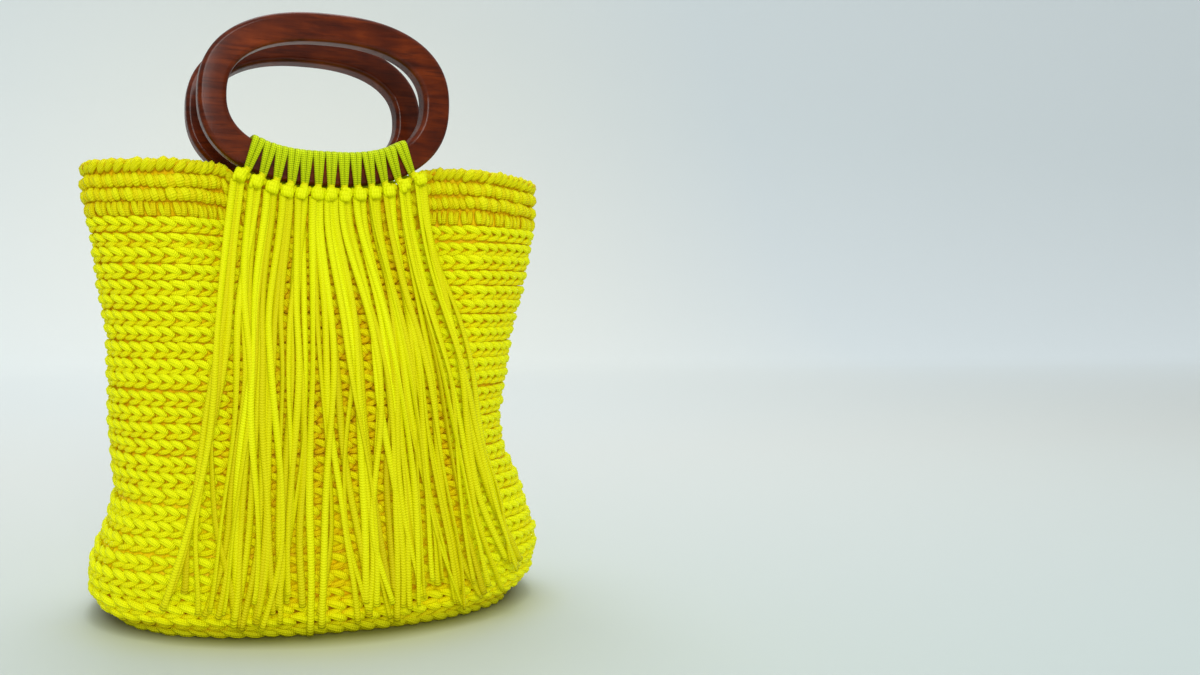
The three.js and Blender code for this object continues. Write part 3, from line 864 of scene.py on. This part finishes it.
# Two flat cords side by side round the bar, closer together below it.
def loopParts(bundle, matrix, spot):
    grown = tie["ease"] + tie["thickness"] / 2
    top = spot["above"] + grown + strip["puff"] * (1 - abs(spot["across"]) / midWidth)
    bottom = -spot["below"] - grown
    line = barLoop(ring["thickness"] / 2 + grown, top, bottom, strip["corner"])
    high = np.clip((line[:, 2] - bottom) / (top - bottom), 0, 1)
    outward = unit(np.cross(np.roll(line, -1, 0) - np.roll(line, 1, 0), [1, 0, 0]))
    facing = np.sign(np.sum(outward * (line - [0, 0, (top + bottom) / 2]), -1))
    outward = outward * facing[:, None]
    skew = rng.normal(0, strip["skew"])
    for side in (-1, 1):
        half = mix(strip["halfBottom"], strip["halfTop"], high) * rng.normal(1, strip["sizeScatter"])
        cord = line.copy()
        cord[:, 0] = side * half * strip["beside"] + skew * (1 - high) + rng.normal(0, strip["scatter"])
        shape = cordShape(cord, half, strip["thick"], strip["sides"], wide=outward, closed=True)
        # The tone rises from the loop's bottom to its top: painted shade, darker below.
        bundle.addCord(shape, np.repeat(mix(0.5, 1, high), strip["sides"]), matrix)


def helix(start, radius, turns, height, steps, flat):
    turn = start + np.linspace(0, 2 * np.pi * turns, steps)
    rise = np.linspace(height / 2, -height / 2, steps)
    return np.stack([radius * np.cos(turn), radius * np.sin(turn) * flat, rise], -1)


# The knots stand a little wider apart than the loops above them.
def knotShift(index):
    return (index - (tie["count"] - 1) / 2) * tie["pitch"] * knot["fan"]


# The collar is a little over one turn of cord under the loop, and the knot a little over two.
def knotParts(bundle, matrix, spot, shift):
    y = -(bag["wall"] / 2 + tie["clearance"] + tie["knotRadius"] + knot["forward"])
    loopBottom = -spot["below"] - loopWall + knot["collarRaise"]
    seatZ = loopBottom - tie["seat"] - tie["knotDrop"] + knot["raise"] - knot["collarRaise"]
    wraps = helix(rng.uniform(0, 2 * np.pi), **knot["wraps"]) * rng.normal(1, knot["sizeScatter"])
    strayX, strayZ = rng.normal(0, knot["scatter"])
    wraps = wraps + [shift + strayX, y, seatZ + strayZ]
    collar = helix(rng.uniform(0, 6), **knot["collar"])
    collar = collar + [shift * knot["collarShift"], y, loopBottom - tie["seat"] / 2]
    down = np.linspace(loopBottom + 2.5, seatZ - 4, knot["coreSteps"])
    core = np.stack([np.linspace(0, shift, len(down)), np.full(len(down), y), down], -1)
    # A smaller knot of the next cord shows between this one and its neighbour.
    place = [shift + tie["pitch"] / 2, y + knot["behindBack"], seatZ + knot["behindUp"]]
    behind = (wraps - [shift, y, seatZ]) * knot["behind"] + place
    # Painted shade: the core and the smaller knot behind take a lower tone than the wraps and the collar.
    parts = (
        (wraps, knot["cord"], knot["band"], [0, 0, 1], 1),
        (collar, knot["collarCord"], knot["collarCord"], [0, 0, 1], 0.9),
        (core, knot["core"], knot["core"], [0, 1, 0], 0.6),
        (behind, knot["cord"] * knot["behind"], knot["band"] * knot["behind"], [0, 0, 1], 0.6),
    )
    for line, across, along, wide, tone in parts:
        shape = cordShape(line, across, along, knot["sides"], wide=np.array(wide, float))
        bundle.addCord(shape, np.full(len(shape["skin"]), tone), matrix)


for plan in (front, back):
    names = [f"tie_{plan['label']}_{index + 1:02d}" for index in range(tie["count"])]
    knots = Bundle()
    for index, (name, spot) in enumerate(zip(names, plan["spots"])):
        matrix = tieMatrix(plan, spot)
        loop = Bundle()
        loopParts(loop, matrix, spot)
        piece = loop.build(name.replace("tie", "loop"), loopMaterial)
        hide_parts(name)
        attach(piece, "root")
        knotParts(knots, matrix, spot, -plan["side"] * knotShift(index))
    piece = knots.build("knots_" + plan["label"], knotMaterial)
    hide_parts(*names)
    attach(piece, "root")
    tell(piece)


# Strand tones are painted shade and light: lower layers, nearer the wall, are darker, "shade" darkens each
# strand towards its end and "sheen" is a painted highlight along it.
fringe = {
    "steps": 64, "sides": 8, "halfWidth": 2.6, "halfThick": 1.15, "narrow": 0.87, "widthScatter": 0.06,
    "swelling": 0.06, "swells": 9, "floor": 0.5, "under": 2, "width": 203, "drift": 9, "fan": 0.8,
    "above": [-0.5, 0.5, -0.2, 0.25, 0], "layers": [4.2, 3, 1, 1.7, 2.4],
    "bunch": 5.6, "spread": 14, "mingle": 1.8, "partAt": -13, "part": 0.75, "partHalf": 33,
    "stray": 4.8, "curl": 7, "wave": 6.4, "paces": ((3, 6), (7, 12)), "phase": (0, 6.28),
    "lift": 1.2, "liftScatter": 0.2, "clear": 0.5, "leastLift": 0.6, "twist": (0.2, 1.2),
    "twistScatter": 0.3, "frontCurve": 180, "tones": [0.9, 0.78, 0.6, 0.68, 0.72], "toneScatter": 0.12,
    "shade": 0.2, "sheen": 0.12, "sheenPace": (5, 10), "endScatter": (-1, 16),
    "ends": [.05, .022, .03, .012, .045, .006, .03, .018, .04, .05, .022, .035, .075],
}


def randomWave(pace, along):
    return np.sin(rng.uniform(*fringe["phase"]) + pace * along)


# One strand's middle line, whose fall runs from 0 at the knot to 1 at its end. It fans out from the parting,
# sways, strays from its neighbours and curls.
def strandLine(top, end, above, beside, layer):
    widening = fringe["width"] / (tie["pitch"] * (1 + knot["fan"]) * (tie["count"] - 1))
    rise = np.linspace(1, 0, fringe["steps"])
    fall = 1 - rise
    fan = rise ** fringe["fan"]
    z = mix(end, top[1], rise)
    x = top[0] * mix(widening, 1, fan) + fringe["drift"] * (1 - fan)
    x = x + mix(beside * fringe["spread"], above * fringe["bunch"], rise ** fringe["mingle"])
    away = x - fringe["partAt"]
    parting = fringe["part"] * away * np.exp(-(away / fringe["partHalf"]) ** 2)
    x = x + parting * smoothStep(fall, 0.02, 0.35)
    free = smoothStep(fall, 0.02, 0.6)
    x = x + rng.normal(0, fringe["stray"]) * smoothStep(fall, 0.15, 1) ** 1.3
    for pace in [rng.uniform(*pair) for pair in fringe["paces"]]:
        x = x + free * fringe["wave"] * rng.uniform(0.2, 1) * 4 / pace * randomWave(pace, fall)
    x = x + rng.normal(0, fringe["curl"]) * smoothStep(fall, 0.78, 1.1)
    crest = np.max([frontReach(x + dx, z + dz) for dx in (-2.4, 0, 2.4) for dz in (-3, 0, 3)], axis=0)
    lift = layer + fringe["clear"] + rng.normal(0, fringe["liftScatter"])
    lift = lift + free * rng.uniform(0, fringe["lift"]) * randomWave(7, fall)
    return np.stack([x, -(crest + np.maximum(lift, fringe["leastLift"])), z], -1)


# The flat cord turns a little on itself on the way down.
def strandFacing(line):
    rise = np.linspace(1, 0, fringe["steps"])
    free = smoothStep(1 - rise, 0.02, 0.5)
    turn = line[:, 0] / fringe["frontCurve"]
    normal = np.stack([np.sin(turn), -np.cos(turn), 0 * rise], -1)
    ahead = unit(np.gradient(line, axis=0))
    sideways = unit(np.cross(ahead, normal))
    twist = rng.normal(0, fringe["twistScatter"])
    twist = twist + free * rng.uniform(*fringe["twist"]) * randomWave(5, rise)
    return np.cross(sideways, ahead) * np.cos(twist)[:, None] + sideways * np.sin(twist)[:, None]


def makeFringe():
    bundle = Bundle()
    fall = np.linspace(0, 1, fringe["steps"])
    swells = np.linspace(0, fringe["swells"], fringe["steps"])
    for index, spot in enumerate(front["spots"]):
        underKnot = spot["below"] + loopWall + tie["seat"] + tie["knotDrop"] + fringe["under"] - knot["raise"]
        topX, topZ = belowBar(front["shift"], spot, underKnot)
        top = (topX + knotShift(index), topZ)
        order = rng.permutation(len(fringe["above"]))
        for strand, above in enumerate(fringe["above"]):
            beside = (order[strand] + 0.5) / len(order) - 0.5
            end = bag["height"] * fringe["ends"][index] + rng.uniform(*fringe["endScatter"])
            line = strandLine(top, end, above, beside, fringe["layers"][strand])
            swelling = 1 + fringe["swelling"] * np.sin(rng.uniform(*fringe["phase"]) + swells)
            half = fringe["halfWidth"] * rng.normal(1, fringe["widthScatter"]) * swelling
            half = half * mix(1, fringe["narrow"], smoothStep(fall, 0.05, 0.4))
            shape = cordShape(line, half, fringe["halfThick"], fringe["sides"], wide=strandFacing(line))
            # Painted light and shade: a highlight waves along the strand, and the tone is lower for strands
            # nearer the wall and towards the end.
            phase = rng.uniform(*fringe["phase"])
            sheen = fringe["sheen"] * np.sin(phase + rng.uniform(*fringe["sheenPace"]) * fall)
            tones = fringe["tones"][strand] + rng.normal(0, fringe["toneScatter"]) - fringe["shade"] * fall
            bundle.addCord(shape, np.repeat(tones + sheen, fringe["sides"]), floor=fringe["floor"])
    return bundle.build("fringe_strands", strandMaterial)


piece = makeFringe()
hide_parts("fringe_front")
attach(piece, "root")
tell(piece)

# Lengths here are metres.
studio = {
    "front": 9, "depth": 3.2, "width": 24, "wallHeight": 5, "cove": 1.2, "coveSteps": 24,
    # Painted light and shade: the near, far and corner colours, the bag's yellow bounce and the contact
    # shadow; "shadow" sets how strong the last two are.
    "near": tint(186, 196, 194), "far": tint(211, 213, 207), "middle": (0.85, 3.2, 0.5),
    "corner": tint(201, 208, 210), "halfAcross": 0.15, "halfDeep": 0.076, "bounce": tint(192, 188, 24),
    "contactShadow": tint(84, 84, 4), "shadow": 0.7, "wallGlow": 0.365, "world": (0.95, 0.98, 1, 1),
    "worldStrength": 0.85,
    "key": {"place": (0.15, 0.5, 2.3), "size": 1.3, "power": 24, "colour": (1, 1, 1)},
    "fill": {"place": (-0.35, -1.95, 0.95), "size": 1, "power": 26, "colour": (1, 0.99, 0.97)},
    "aim": (0, 0, 0.2),
}


# A pale floor that runs up into a pale wall through a round cove.
def makeStudio():
    bpy.ops.mesh.primitive_plane_add(size=2)
    floor = bpy.context.object
    floor.name = "studio_floor"
    for vertex in floor.data.vertices:
        vertex.co.x *= studio["width"] / 2
        vertex.co.y = studio["depth"] if vertex.co.y > 0 else -studio["front"]
        vertex.select = False
    for edge in floor.data.edges:
        edge.select = all(floor.data.vertices[index].co.y > 0 for index in edge.vertices)
    setMode("EDIT")
    bpy.ops.mesh.select_mode(type="EDGE")
    bpy.ops.mesh.extrude_edges_move(TRANSFORM_OT_translate={"value": (0, 0, studio["wallHeight"])})
    setMode("OBJECT")
    for edge in floor.data.edges:
        ends = [floor.data.vertices[index].co for index in edge.vertices]
        edge.select = all(abs(end.y - studio["depth"]) < 1e-6 and abs(end.z) < 1e-6 for end in ends)
    setMode("EDIT")
    bpy.ops.mesh.bevel(offset=studio["cove"], segments=studio["coveSteps"], affect="EDGES")
    setMode("OBJECT")
    bpy.ops.object.shade_smooth()
    floor.data.materials.append(studioMaterial())
    floor.select_set(False)


# Painted light and shade: paler far away and a little darker aside, with a painted reflection of the bag's
# yellow glow about its foot and a painted contact shadow at its edge.
def studioMaterial():
    shade = Shade("pale studio floor")
    place = shade.objectPlace()
    across, depth, _ = shade.split(place)
    distance = {"operation": "DISTANCE"}
    away = shade.node("VectorMath", distance, {"Vector": place, "Vector_001": studio["middle"]}, output=0)
    # Painted shade: darker near the front, paler far away.
    colour = shade.blend(depth.between(-0.25, 0.5), studio["near"], studio["far"])
    # Painted shade: darker aside, away from the middle.
    aside = away.between(0.6, 2.4) * depth.between(-0.3, 2.2)
    colour = shade.blend(aside, colour, studio["corner"])
    radius = (across ** 2 + depth ** 2).math("SQRT")
    footing = ((across / studio["halfAcross"]) ** 2 + (depth / studio["halfDeep"]) ** 2).math("SQRT")
    beyond = radius - radius / footing
    # Painted reflection of the bag's yellow light about its foot.
    glow = (1 - beyond.between(0, 0.06)) ** 2 * (1 - depth.between(-0.07, 0))
    colour = shade.blend(glow * studio["shadow"], colour, studio["bounce"])
    # Painted contact shadow along the edge of the foot.
    contactShadow = 1 - beyond.between(0.002, 0.02)
    colour = shade.blend(contactShadow * studio["shadow"], colour, studio["contactShadow"])
    return shade.finish({
        "Base Color": colour, "Roughness": 0.6, "Specular IOR Level": 0.1,
        "Emission Color": shade.blend(depth.between(0.5, 2.2), tint(0, 0, 0), colour),
        "Emission Strength": studio["wallGlow"],
    })


def softLight(name, place, size, power, colour):
    bpy.ops.object.light_add(type="AREA", location=place)
    light = bpy.context.object
    light.name = name
    light.data.size = size
    light.data.energy = power
    light.data.color = colour
    light.rotation_euler = (Vector(studio["aim"]) - Vector(place)).to_track_quat("-Z", "Y").to_euler()
    light.select_set(False)


makeStudio()
for name in ("key", "fill"):
    softLight(name, **studio[name])
world = bpy.data.worlds.new("studio")
world.use_nodes = True
backdrop = world.node_tree.nodes["Background"].inputs
backdrop["Color"].default_value = studio["world"]
backdrop["Strength"].default_value = studio["worldStrength"]
bpy.context.scene.world = world

# It stands left of the bag's middle, two thirds of the way up, and its view is shifted, not tipped.
camera = {
    "azimuth": 14.71, "distance": 630.1, "height": 218.36, "roll": 0.6,
    "focal": 838.4, "frame": (1200, 675), "middle": (320, 303.6), "sensor": 36,
}


def makeCamera():
    turn = math.radians(camera["azimuth"])
    width, height = camera["frame"]
    middleX, middleY = camera["middle"]
    place = np.array([-math.sin(turn), -math.cos(turn), 0]) * camera["distance"] + [0, 0, camera["height"]]
    bpy.ops.object.camera_add(location=Vector((place + origin) * mm))
    made = bpy.context.object
    made.rotation_euler = (math.pi / 2, -math.radians(camera["roll"]), -turn)
    made.data.sensor_width = camera["sensor"]
    made.data.lens = camera["focal"] / width * camera["sensor"]
    made.data.shift_x = (width / 2 - middleX) / width
    made.data.shift_y = (middleY - height / 2) / width
    bpy.context.scene.camera = made


makeCamera()
bpy.context.scene.view_settings.view_transform = "Standard"
bpy.context.scene.view_settings.look = "None"
bpy.context.scene.view_settings.exposure = 0
print("studio and camera ready")
